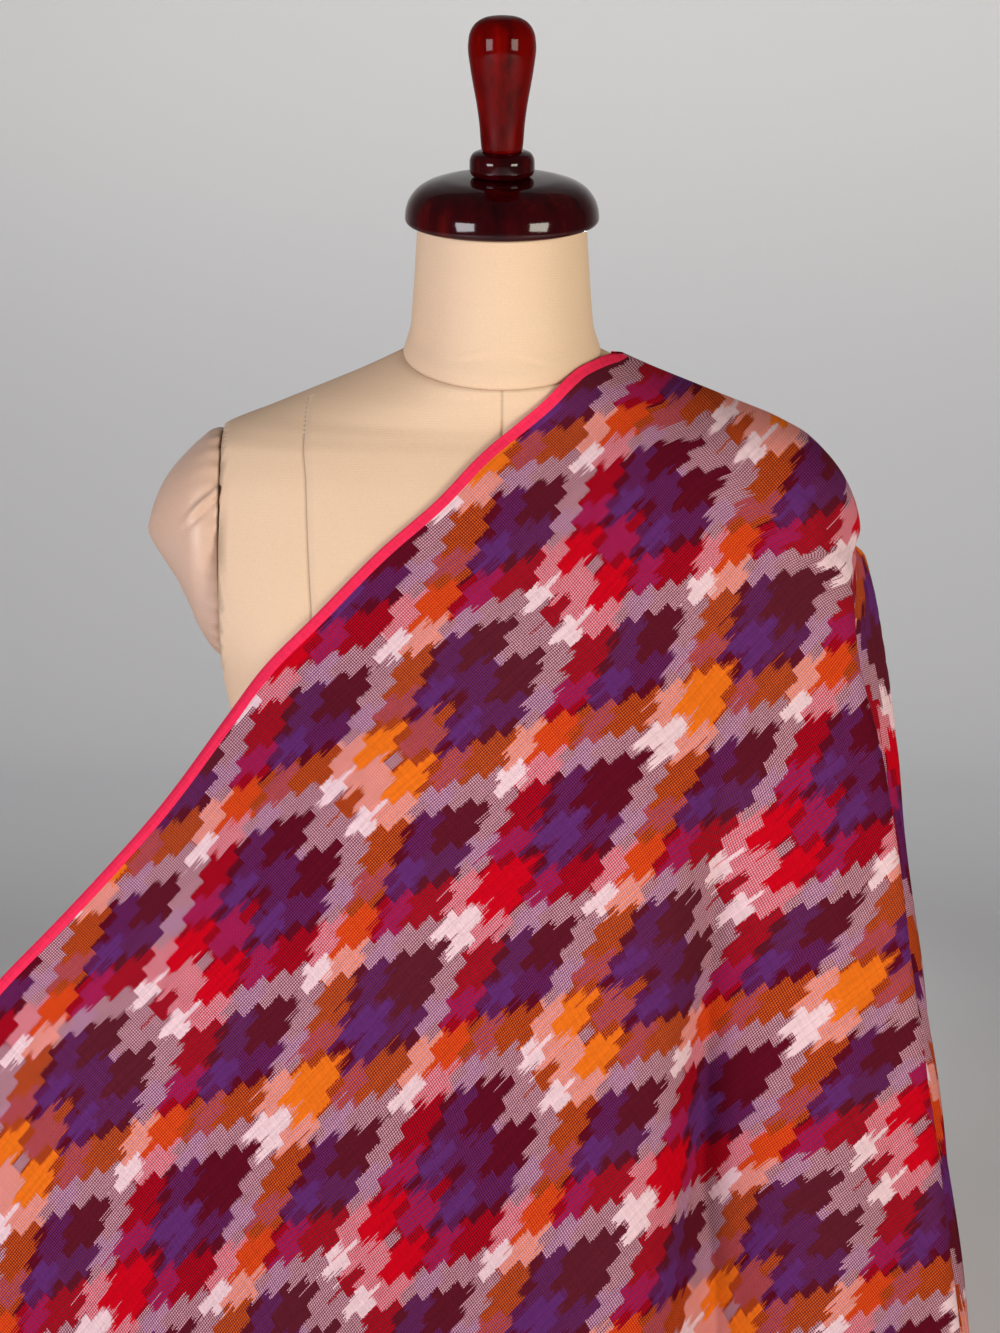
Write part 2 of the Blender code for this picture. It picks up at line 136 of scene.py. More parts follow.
def skin(loops, first=None, last=None):
    # a closed solid through loops of equal count, counter-clockwise seen from the last one; first
    # and last are the centres of ends that aren't flat
    count = len(loops[0])
    vertices = [point for loop in loops for point in loop]
    faces = closing(vertices, list(reversed(range(count))), first)
    for k in range(len(loops) - 1):
        low, high = k * count, (k + 1) * count
        for j in range(count):
            after = (j + 1) % count
            faces.append((low + j, low + after, high + after, high + j))
    faces += closing(vertices, list(range((len(loops) - 1) * count, len(loops) * count)), last)
    return vertices, faces


def applyAll(piece):
    deselect()
    piece.select_set(True)
    bpy.context.view_layer.objects.active = piece
    for modifier in list(piece.modifiers):
        bpy.ops.object.modifier_apply(modifier=modifier.name)


# material tools

class Value:
    # a number inside a material, so that sums on it add the Math nodes
    def __init__(self, finish, socket):
        self.finish, self.socket = finish, socket

    def __add__(self, other):
        return self.finish.math("ADD", self, other)

    def __sub__(self, other):
        return self.finish.math("SUBTRACT", self, other)

    def __mul__(self, other):
        return self.finish.math("MULTIPLY", self, other)

    def __truediv__(self, other):
        return self.finish.math("DIVIDE", self, other)

    def __radd__(self, other):
        return self.finish.math("ADD", other, self)

    def __rmul__(self, other):
        return self.finish.math("MULTIPLY", other, self)


class Finish:
    def __init__(self, name, **fixed):
        self.material = bpy.data.materials.new(name)
        self.material.use_nodes = True
        self.tree = self.material.node_tree
        self.shader = self.tree.nodes["Principled BSDF"]
        for socket, value in fixed.items():
            self.shader.inputs[socket.replace("_", " ")].default_value = value

    def node(self, kind, settings=None, inputs=None, output=0):
        made = self.tree.nodes.new(kind)
        for name, value in (settings or {}).items():
            if name == "stops":
                self.setStops(made.color_ramp, value)
            elif name == "ramp":
                made.color_ramp.interpolation = value
            else:
                setattr(made, name, value)
        for name, value in (inputs or {}).items():
            if isinstance(value, Value):
                self.tree.links.new(value.socket, made.inputs[name])
            else:
                made.inputs[name].default_value = value
        return Value(self, made.outputs[output])

    @staticmethod
    def setStops(ramp, stops):
        while len(ramp.elements) > 1:
            ramp.elements.remove(ramp.elements[-1])
        ramp.elements[0].position = stops[0][0]
        ramp.elements[0].color = stops[0][1]
        for place, colour in stops[1:]:
            ramp.elements.new(place).color = colour

    def math(self, operation, *values):
        return self.node("ShaderNodeMath", {"operation": operation}, dict(enumerate(values)))

    def mix(self, share, a, b, way="MIX"):
        settings = {"data_type": "RGBA", "blend_type": way}
        return self.node("ShaderNodeMix", settings, {0: share, 6: a, 7: b}, output=2)

    def split(self, vector):
        made = self.tree.nodes.new("ShaderNodeSeparateXYZ")
        self.tree.links.new(vector.socket, made.inputs[0])
        return [Value(self, made.outputs[k]) for k in range(3)]

    def joined(self, x, y, z=0.0):
        return self.node("ShaderNodeCombineXYZ", None, {0: x, 1: y, 2: z})

    def place(self):
        return self.node("ShaderNodeTexCoord", output=3)

    def uv(self, name):
        return self.node("ShaderNodeUVMap", {"uv_map": name})

    def noise(self, where, scale, detail=2.0, rough=0.5):
        return self.node("ShaderNodeTexNoise", None,
                         {"Vector": where, "Scale": scale, "Detail": detail, "Roughness": rough})

    def random(self, where):
        return self.node("ShaderNodeTexWhiteNoise", {"noise_dimensions": "1D"}, {"W": where})

    def brightness(self, colour):
        return self.node("ShaderNodeRGBToBW", None, {"Color": colour})

    def ramp(self, value, stops, kind="LINEAR"):
        return self.node("ShaderNodeValToRGB", {"ramp": kind, "stops": stops}, {0: value})

    def bump(self, height, distance, strength):
        inputs = {"Height": height, "Distance": distance, "Strength": strength}
        return self.node("ShaderNodeBump", None, inputs)

    def feed(self, **sockets):
        for socket, value in sockets.items():
            self.tree.links.new(value.socket, self.shader.inputs[socket.replace("_", " ")])
        return self.material


def shade(code):
    # a colour from its code as dyers and painters write it
    parts = [int(code[k:k + 2], 16) / 255 for k in (0, 2, 4)]
    return tuple(p / 12.92 if p <= 0.04045 else ((p + 0.055) / 1.055) ** 2.4 for p in parts) + (1.0,)


# the padded form: torso, neck and arm caps in knitted cover

seam = 0.0003             # left between pieces that touch
armholeX = 0.178
rearRise = 0.25           # how much of a ring's tilt its rear half has

torso = {
    # height, half width, front, back, squareness, tilt of the ring in degrees
    "rings": [
        (0.000, 0.162, 0.102, 0.106, 2.3, 0),
        (0.012, 0.168, 0.109, 0.113, 2.3, 0),
        (0.070, 0.172, 0.113, 0.118, 2.3, 0),
        (0.150, 0.161, 0.108, 0.110, 2.3, 0),
        (0.220, 0.141, 0.098, 0.092, 2.3, 0),
        (0.290, 0.124, 0.089, 0.080, 2.3, 0),
        (0.350, 0.139, 0.099, 0.087, 2.3, 0),
        (0.400, 0.160, 0.109, 0.097, 2.4, 0),
        (0.440, 0.172, 0.114, 0.104, 2.5, 0),
        (0.480, 0.180, 0.113, 0.109, 2.6, 0),
        (0.520, 0.200, 0.107, 0.112, 2.6, 0),
        (0.565, 0.212, 0.095, 0.111, 2.5, 0),
        (0.605, 0.208, 0.081, 0.103, 2.4, 1),
        (0.632, 0.197, 0.070, 0.092, 2.2, 4),
        (0.6455, 0.175, 0.064, 0.083, 2.1, 7.5),
        (0.656, 0.148, 0.061, 0.075, 2.0, 11),
        (0.6675, 0.119, 0.060, 0.069, 2.0, 14.5),
        (0.679, 0.090, 0.060, 0.065, 2.0, 18),
        (0.690, 0.0655, 0.062, 0.062, 2.0, 20.5),
    ],
    "bodyLevels": 120, "shoulderLevels": 46,
    "columns": 18,            # between two seams
    "bustX": 0.078, "bustZ": 0.437, "bustOut": 0.020, "bustSpread": 0.052,
    # height and x of the seams that shape the front and the back
    "shapedSeam": [(0.0, 0.100), (0.15, 0.096), (0.29, 0.074), (0.40, 0.090), (0.470, 0.1090),
                   (0.50, 0.1145), (0.531, 0.1183), (0.58, 0.1215), (0.614, 0.1230), (0.638, 0.1250),
                   (0.657, 0.1247), (0.668, 0.1221), (0.679, 0.0860), (0.690, 0.0500)],
    "seamDeep": 0.0011, "seamWide": 0.0016, "seamEnd": 0.668, "seamFade": 0.006,
    "seamAndShadeDark": 0.5,          # how dark a sewn line, and the painted shade beside the armhole, is against that of the arm caps
    # the torso is painted darker near the armhole: painted shade of the crevice where the arm cap meets it
    "armholeShadeWide": 0.0012, "centreDark": 0.4, "centreHalf": 0.012,
}

neck = {
    # height, half width, half depth, middle y, tilt in degrees, share of the tilt at the rear
    "rings": [
        (0.6903, 0.0638, 0.0610, 0.000, 20.5, 0.25),
        (0.6970, 0.0608, 0.0600, -0.001, 20.5, 0.35),
        (0.7060, 0.0584, 0.0590, -0.002, 19.3, 0.50),
        (0.7170, 0.0574, 0.0582, -0.0035, 18.0, 0.70),
        (0.7320, 0.0562, 0.0573, -0.005, 16.3, 0.90),
        (0.7510, 0.0549, 0.0564, -0.008, 14.2, 1.0),
        (0.7712, 0.0536, 0.0556, -0.010, 12.0, 1.0),
    ],
    "sides": 240, "levels": 64, "roll": 0.0012, "drawn": 0.0008,
    # x, height above the seam, slope
    "tucks": [(-0.016, 0.0195, 0.25), (0.019, 0.0175, -0.30)],
    "tuckHigh": 0.0016, "tuckWide": 0.010, "tuckOut": 0.0005,
    # the neck seam is painted dark: partly its sewn line, partly painted shade under the roll of the cover
    "seamWide": 0.0016, "seamAndShadeDark": 0.5,
}

armCap = {
    # x, top, bottom, half depth
    "rings": [
        (armholeX + seam, 0.6418, 0.4915, 0.057),
        (0.1857, 0.6402, 0.4980, 0.0565),
        (0.1948, 0.6335, 0.5121, 0.054),
        (0.2010, 0.6275, 0.5270, 0.050),
        (0.2085, 0.6197, 0.5426, 0.043),
        (0.2169, 0.6083, 0.5556, 0.032),
        (0.2239, 0.5934, 0.5660, 0.018),
        (0.2278, 0.5800, 0.5730, 0.006),
    ],
    "middle": 0.566, "halfHigh": 0.077,
    "sides": 264, "levels": 56, "round": 0.9, "pucker": 0.0008, "drawn": 0.0016, "seamWide": 0.0014,
    # the fold: how far it stands out, where it starts, how steep, how wide, how long, and the
    # distance, height, half width, half height and depth of the full part below it
    "crease": 0.0028, "creaseTop": 0.6050, "creaseSlope": 0.92, "creaseWide": 0.0021, "creaseLong": 0.017,
    "creaseTurn": 0.736,      # the cosine that goes with the slope
    "full": (0.012, 0.571, 0.010, 0.024, 0.0024),
    # height, half height and depth of the places where the cover is drawn in more
    "loose": [(0.513, 0.012, 0.0022), (0.634, 0.007, 0.0018)],
}


def rise(y, tilt, rear):
    return math.tan(math.radians(tilt)) * np.where(y < 0, y, rear * y)


def torsoAngles(level, halfWidth, square):
    # the columns of one ring, gathered at the sewn lines so that each line is a real groove
    across = min(float(shapedSeamX(level)) / halfWidth, 0.985)
    turn = math.acos(across ** (square / 2))
    lines = [0, turn, math.pi / 2, math.pi - turn, math.pi, math.pi + turn, 1.5 * math.pi,
             2 * math.pi - turn, 2 * math.pi]
    near = torso["seamWide"] / halfWidth
    angles, depths = [], []
    for first, last, start, end in zip(lines, lines[1:], range(8), range(1, 9)):
        low = first + (near if start % 4 else 0)
        high = last - (near if end % 4 else 0)
        if start % 4:
            angles += [first, first + near * 0.4]
            depths += [1.0, 0.45]
        inner = list(np.linspace(low, high, torso["columns"] + 1))
        if end % 4 == 0:
            inner = inner[:-1]
        angles += inner
        depths += [0.0] * len(inner)
        if end % 4:
            angles.append(last - near * 0.4)
            depths.append(0.45)
    return np.array(angles), np.array(depths)


def torsoLoop(level):
    halfWidth, front, back, square, tilt = [float(c(level)) for c in torsoCurves]
    angles, depths = torsoAngles(level, halfWidth, square)
    across, deep = np.cos(angles), np.sin(angles)
    x = np.clip(halfWidth * power(across, 2 / square), -armholeX, armholeX)
    y = np.where(deep < 0, front, back) * power(deep, 2 / square)
    off = np.hypot((np.abs(x) - torso["bustX"]) / torso["bustSpread"],
                   (level - torso["bustZ"]) / torso["bustSpread"])
    y -= np.where(deep < 0, torso["bustOut"] * np.exp(-off * off) * np.minimum(1.0, -2 * deep), 0)
    fade = smoothStep((torso["seamEnd"] - level) / torso["seamFade"])
    inward = torso["seamDeep"] * depths * fade
    far = np.hypot(x, y)
    x, y = x * (1 - inward / far), y * (1 - inward / far)
    atCap = abs(level - armCap["middle"]) < armCap["halfHigh"]
    # painted shade in the crevice where the torso meets the arm cap, on top of the dark seam lines
    edge = np.clip(1 - (armholeX - np.abs(x)) / torso["armholeShadeWide"], 0, 1) * atCap
    seamAndShadeMask = torso["seamAndShadeDark"] * np.maximum(depths * fade, edge)
    if level > torso["seamEnd"] - 0.004:
        seamAndShadeMask = np.maximum(seamAndShadeMask, torso["centreDark"] * depths * np.exp(-(x / torso["centreHalf"]) ** 2))
    return np.column_stack([x, y, level + rise(y, tilt, rearRise), seamAndShadeMask])


torsoCurves = curvesOf(torso["rings"])
shapedSeamX = Curve(*zip(*torso["shapedSeam"]))


def buildTorso():
    top = torso["rings"][-1][0]
    body = list(np.linspace(0.02, 0.60, torso["bodyLevels"]))
    levels = [0.0, 0.004, 0.008, 0.012] + body + list(np.linspace(0.6035, top, torso["shoulderLevels"]))
    return addMesh("torsoCover", *skin([torsoLoop(level) for level in levels], last=(0, 0, top, 0)))


def buildNeck():
    curves = curvesOf(neck["rings"])
    angles = 2 * math.pi * (np.arange(neck["sides"]) + 0.5) / neck["sides"]
    loops = []
    first, last = neck["rings"][0][0], neck["rings"][-1][0]
    for z in [first, first + 0.0006, *np.linspace(first + 0.0014, last, neck["levels"])]:
        halfWidth, halfDepth, middle, tilt, rear = [float(c(z)) for c in curves]
        above = z - first
        x = np.cos(angles)
        # a soft roll over the seam, two faint tucks, and the cover drawn in at the seam
        roll = neck["roll"] * math.exp(-((above - 0.008) / 0.006) ** 2) * (1 - np.sin(angles)) / 2
        for middleX, tuckZ, slope in neck["tucks"]:
            aside = x * halfWidth - middleX
            off = (above - tuckZ - slope * aside) / neck["tuckHigh"]
            side = np.exp(-(aside / neck["tuckWide"]) ** 2) * (np.sin(angles) < 0)
            roll = roll + neck["tuckOut"] * side * (np.exp(-off * off) - np.exp(-(off + 1.8) ** 2))
        roll = roll - neck["drawn"] * math.exp(-above / 0.0012)
        y = (halfDepth + roll) * np.sin(angles)
        # painted shade: darker just above the seam, under the roll, as well as the sewn line
        seamAndShadeMask = np.full(len(x), neck["seamAndShadeDark"] * max(0.0, 1 - above / neck["seamWide"]))
        loops.append(np.column_stack([(halfWidth + roll) * x, middle + y, z + rise(y, tilt, rear), seamAndShadeMask]))
    return addMesh("neckCover", *skin(loops, first=(0, 0, first, 1)))


def armShape(fromSeam, y, z):
    # how far the cover puffs out or is drawn in: small tucks at the seam, one folded crease that
    # runs down from the seam, and the full part below it
    around = math.atan2(z - armCap["middle"], y)
    tucks = math.sin(31 * around + 1.3 * math.sin(3 * around)) * math.exp(-fromSeam / 0.006)
    push = armCap["pucker"] * tucks
    loose = sum(deep * math.exp(-((z - at) / half) ** 2) for at, half, deep in armCap["loose"])
    push -= (armCap["drawn"] + loose) * math.exp(-fromSeam / 0.0016)
    if y < 0.02:
        front = smoothStep((0.02 - y) / 0.03)
        off = z - armCap["creaseTop"] + armCap["creaseSlope"] * fromSeam
        off = off * armCap["creaseTurn"] / armCap["creaseWide"]
        fade = front * math.exp(-(fromSeam / armCap["creaseLong"]) ** 3)
        push += armCap["crease"] * fade * (math.exp(-off * off) - 0.9 * math.exp(-((off + 1.9) / 0.8) ** 2)
                                           - 0.5 * math.exp(-((off - 1.9) / 0.8) ** 2))
        away, high, wide, tall, deep = armCap["full"]
        full = math.hypot((fromSeam - away) / wide, (z - high) / tall)
        push += deep * front * math.exp(-full * full)
    return push


def buildArmCap(name, side):
    curves = curvesOf(armCap["rings"])
    first, last = armCap["rings"][0][0], armCap["rings"][-1][0]
    share = np.linspace(0, 1, armCap["levels"])
    rim = armCap["seamWide"]
    spaced = rim + (last - first - rim) * (1 - (1 - share) ** 1.8)
    loops = []
    for x in first + np.array([0, 0.0005, *spaced]):
        top, bottom, depth = [float(c(x)) for c in curves]
        fromSeam = x - first
        # painted shade: darker next to the torso, in the crevice of the armhole seam, as well as the sewn
        # line
        seamAndShadeMask = max(0.0, 1 - fromSeam / rim)
        loop = []
        for k in range(armCap["sides"]):
            angle = side * 2 * math.pi * k / armCap["sides"]
            y = depth * power(math.cos(angle), armCap["round"])
            z = (top + bottom) / 2 + (top - bottom) / 2 * power(math.sin(angle), armCap["round"])
            push = armShape(fromSeam, y, z)
            way = Vector((0.02 * smoothStep(fromSeam / 0.01), y, z - armCap["middle"]))
            out = way.normalized() * push
            loop.append((side * (x + max(out.x, 0)), y + out.y, z + out.z, seamAndShadeMask))
        loops.append(loop)
    return addMesh(name, *skin(loops))


torsoCover = buildTorso()
neckCover = buildNeck()
leftCap = buildArmCap("leftArmCap", -1)
rightCap = buildArmCap("rightArmCap", 1)
print("form covered")


# the turned cap on the neck

woodCap = {
    "lean": 12.0, "seat": (-0.010, 0.7712), "amber": "8A3408", "sides": 112, "rings": 64, "collarRings": 36,
    # radius and height above the piece's own seat
    "cap": [(0.0585, 0.0), (0.0606, 0.0010), (0.0616, 0.0034), (0.0613, 0.0075), (0.0600, 0.0125),
            (0.0572, 0.0175), (0.0528, 0.0220), (0.0452, 0.0258), (0.0345, 0.0283), (0.0220, 0.0292)],
    "collar": [(0.0172, 0.0), (0.0196, 0.0016), (0.0206, 0.0048), (0.0205, 0.0100),
               (0.0186, 0.0143), (0.0150, 0.0160)],
    "handle": [(0.0124, 0.0), (0.0130, 0.0015), (0.0143, 0.0165), (0.0159, 0.0288), (0.0181, 0.0411),
               (0.0201, 0.0533), (0.0213, 0.0641), (0.0207, 0.0710), (0.0188, 0.0762), (0.0152, 0.0802),
               (0.0098, 0.0827), (0.0050, 0.0834), (0.0012, 0.0836)],
}


def turnPiece(name, profile, seat, rings):
    # a disc drawn up step by step along its profile, then leaned over onto its seat
    radius, height = zip(*profile)
    along = np.concatenate([[0], np.cumsum(np.hypot(np.diff(radius), np.diff(height)))])
    steps = np.linspace(0, along[-1], rings)
    radii, heights = Curve(along, radius)(steps), Curve(along, height)(steps)
    deselect()
    bpy.ops.mesh.primitive_circle_add(vertices=woodCap["sides"], radius=radii[0], fill_type="NGON",
                                      location=(0, 0, 0))
    piece = bpy.context.object
    piece.name = piece.data.name = name
    bpy.ops.object.mode_set(mode="EDIT")
    bpy.ops.mesh.select_all(action="SELECT")
    for k in range(1, rings):
        bpy.ops.mesh.extrude_region_move(
            TRANSFORM_OT_translate={"value": (0, 0, heights[k] - heights[k - 1])})
        grow = radii[k] / radii[k - 1]
        bpy.ops.transform.resize(value=(grow, grow, 1), center_override=(0, 0, 0))
    bpy.ops.mesh.select_all(action="SELECT")
    bpy.ops.mesh.normals_make_consistent(inside=False)
    bpy.ops.object.mode_set(mode="OBJECT")
    lean = Matrix.Rotation(math.radians(woodCap["lean"]), 4, "X")
    piece.matrix_world = (Matrix.Translation((0, *woodCap["seat"])) @ lean
                          @ Matrix.Translation((0, 0, seat + heights[0])))
    bpy.ops.object.transform_apply(location=True, rotation=True, scale=True)
    bpy.ops.object.shade_smooth_by_angle(angle=math.radians(40))
    return piece


seat = seam
capDome = turnPiece("capDome", woodCap["cap"], seat, woodCap["rings"])
seat += woodCap["cap"][-1][1] + seam
capCollar = turnPiece("capCollar", woodCap["collar"], seat, woodCap["collarRings"])
seat += woodCap["collar"][-1][1] + seam
capHandle = turnPiece("capHandle", woodCap["handle"], seat, woodCap["rings"])
print("cap turned")


# the cloth, hung from the form

cloth = {
    "thick": 0.0007,
    "clear": 0.0034,        # from the form to the middle of the cloth
    "nearest": 0.0026,
    "lift": 0.0022,         # the same over the flat of the shoulder
    "top": 0.6885, "shoulder": 0.640, "tip": 0.566, "bust": 0.440,
    "floorBend": 0.010,
    "upperRows": 88, "lowerRows": 62,
    "levelStep": 0.005, "stationStep": 0.008, "sideHalf": 0.115, "halfFolds": 0.062,
    "fine": 641, "smoothings": 40,   # points of a section before it is spaced, and passes over it
    # columns: to the trough, across it, to the front fold, fold to valley twice, back
    "columns": (52, 64, 18, 20, 20, 38),
    "troughZone": (0.075, 0.195),
    # how far the cloth lies out on the surface, by place, and the waves in that
    "pool": {"corner": 0.010, "front": 0.042, "side": 0.010, "back": 0.026},
    "waves": [(0.20, 0.17), (0.05, 0.61)],
    "ripple": 0.0016,
    # height, x and depth of the front selvedge
    "frontEdge": [
        (0.6885, 0.0690, -0.006), (0.6837, 0.0520, -0.030), (0.6750, 0.0400, -0.045),
        (0.6623, 0.0272, -0.060), (0.6453, 0.0066, -0.066), (0.6285, -0.0140, -0.070),
        (0.6018, -0.0400, -0.080), (0.5720, -0.0750, -0.088), (0.5298, -0.1171, -0.088),
        (0.5015, -0.1451, -0.084), (0.4651, -0.1725, -0.078), (0.4104, -0.2132, -0.085),
        (0.3676, -0.2512, -0.090), (0.3276, -0.2893, -0.095), (0.3027, -0.3144, -0.100),
        (0.2000, -0.3980, -0.112), (0.1000, -0.4740, -0.120), (0.0000, -0.5420, -0.125),
    ],
    "backEdge": [(0.6885, 0.0710, 0.008), (0.6600, 0.0700, 0.060), (0.5000, 0.0720, 0.100),
                 (0.2500, 0.0780, 0.112), (0.0000, 0.0880, 0.122)],
    # height, front fold x and y, rear fold x and y, depth of the valley between them
    "folds": [
        (0.566, 0.2180, -0.044, 0.2350, 0.014, 0.000),
        (0.530, 0.2220, -0.054, 0.2470, 0.028, 0.008),
        (0.500, 0.2260, -0.060, 0.2545, 0.038, 0.022),
        (0.437, 0.2430, -0.067, 0.2670, 0.052, 0.045),
        (0.362, 0.2560, -0.071, 0.2765, 0.060, 0.060),
        (0.285, 0.2670, -0.072, 0.2885, 0.062, 0.070),
        (0.207, 0.2800, -0.072, 0.3010, 0.062, 0.076),
        (0.100, 0.2960, -0.072, 0.3180, 0.062, 0.082),
        (0.000, 0.3100, -0.072, 0.3330, 0.062, 0.086),
    ],
    # front or back, x, lean, where it starts, where it is full, depth, half widths
    "troughs": [
        (-1, 0.1380, 0.000, 0.455, 0.050, 0.042, 0.024, 0.024),
        (-1, 0.2000, 0.015, 0.480, 0.100, -0.010, 0.034, 0.036),
        (-1, -0.0050, -0.030, 0.400, 0.120, 0.007, 0.045, 0.045),
        (-1, -0.2350, -0.150, 0.330, 0.080, 0.009, 0.060, 0.050),
        (1, 0.1300, 0.010, 0.520, 0.150, 0.022, 0.024, 0.028),
        (1, 0.2000, 0.030, 0.480, 0.120, -0.012, 0.030, 0.030),
    ],
}

ikat = {
    "slope": 46.1,            # degrees from level to the threads of the front
    "plane": -0.11,           # the depth at which the repeat is measured
    "start": 0.2144,
    "bigLine": 0.2034, "halfTurn": 0.1038,
    "stepAcross": 0.0064875, "cell": 0.012988,
    "mesh": 0.00148,          # from gap to gap of the open weave
    "gap": 0.145,             # share of it, on each side, that is gap
    "lean": 0.40, "leanUntil": 0.30, "shrink": 0.03, "leftBow": 0.015, "rightBow": 0.012,
    "rightSlack": 0.009, "leftSlack": 0.008, "nearTuck": 0.005, "set": 0.007,
    "drop": 0.009, "dropEased": 0.0075,
    "backStart": 0.10, "backRise": 0.17,
    # one repeat along the warp: how many cells wide, and the dye
    "repeat": [(2.4, "blush"), (3.3, "red"), (0.9, "wine"), (2.4, "violet"), (4.0, "wine"),
               (2.4, "blush"), (3.3, "orange"), (0.9, "wine"), (2.4, "violet"), (4.0, "plum")],
    "lag": 0.0195,            # how far the tied warp hangs back on both sides of a mirror line
    "dyes": {"blush": "E8C6CE", "red": "C40219", "orange": "E66E19", "violet": "5E2868",
             "wine": "5A0A1E", "plum": "5A1A28"},
    "crossed": (0.80, 0.59, 0.67, 1.0),
    # how far yarns slip along themselves: each one, threes, a bundle, a rare one, the weft, slowly
    "slip": 0.0048, "slipThree": 0.0014, "slipBundle": 0.0026, "slipRare": 0.018, "slipWeft": 0.0013,
    "slipSlow": 0.004, "rareAbove": 0.93,
    "bleed": 0.04,            # cells over which one dye runs into the next, on each side
    "uneven": 0.00022,        # how much the gaps of the weave differ
    # the dot share paints the raised yarn a little lighter than the gaps: painted light and painted shade
    "tone": {"least": 0.64, "warp": 0.14, "weft": 0.10, "cloudy": 0.20, "mottled": 0.20, "dot": 0.05},
    "selvedge": "F83058", "selvedgeWide": 0.0068,
}


def turnOf(a, b, c):
    return (b[0] - a[0]) * (c[1] - a[1]) - (b[1] - a[1]) * (c[0] - a[0])


def hullPath(start, points, end):
    # the taut path from start to end round the points to the right of them, seen from above
    cloud = sorted(set([p for p in points if turnOf(start, end, p) < -1e-6] + [start, end]))
    chains = []
    for order in (cloud, cloud[::-1]):
        chain = []
        for p in order:
            while len(chain) > 1 and turnOf(chain[-2], chain[-1], p) <= 0:
                chain.pop()
            chain.append(p)
        chains.append(chain[:-1])
    ring = chains[0] + chains[1]
    first = ring.index(start)
    ring = ring[first:] + ring[:first]
    return ring[:ring.index(end) + 1]


def lengthsAlong(path):
    return np.concatenate([[0.0], np.cumsum(np.linalg.norm(np.diff(path, axis=0), axis=1))])


def resample(path, count):
    path = np.array(path)
    along = lengthsAlong(path)
    wanted = np.linspace(0.0, along[-1], count)
    return np.column_stack([np.interp(wanted, along, path[:, k]) for k in (0, 1)])


def outwardNormals(points):
    ahead = np.gradient(points, axis=0)
    normals = np.column_stack([ahead[:, 1], -ahead[:, 0]])
    return normals / np.linalg.norm(normals, axis=1)[:, None]


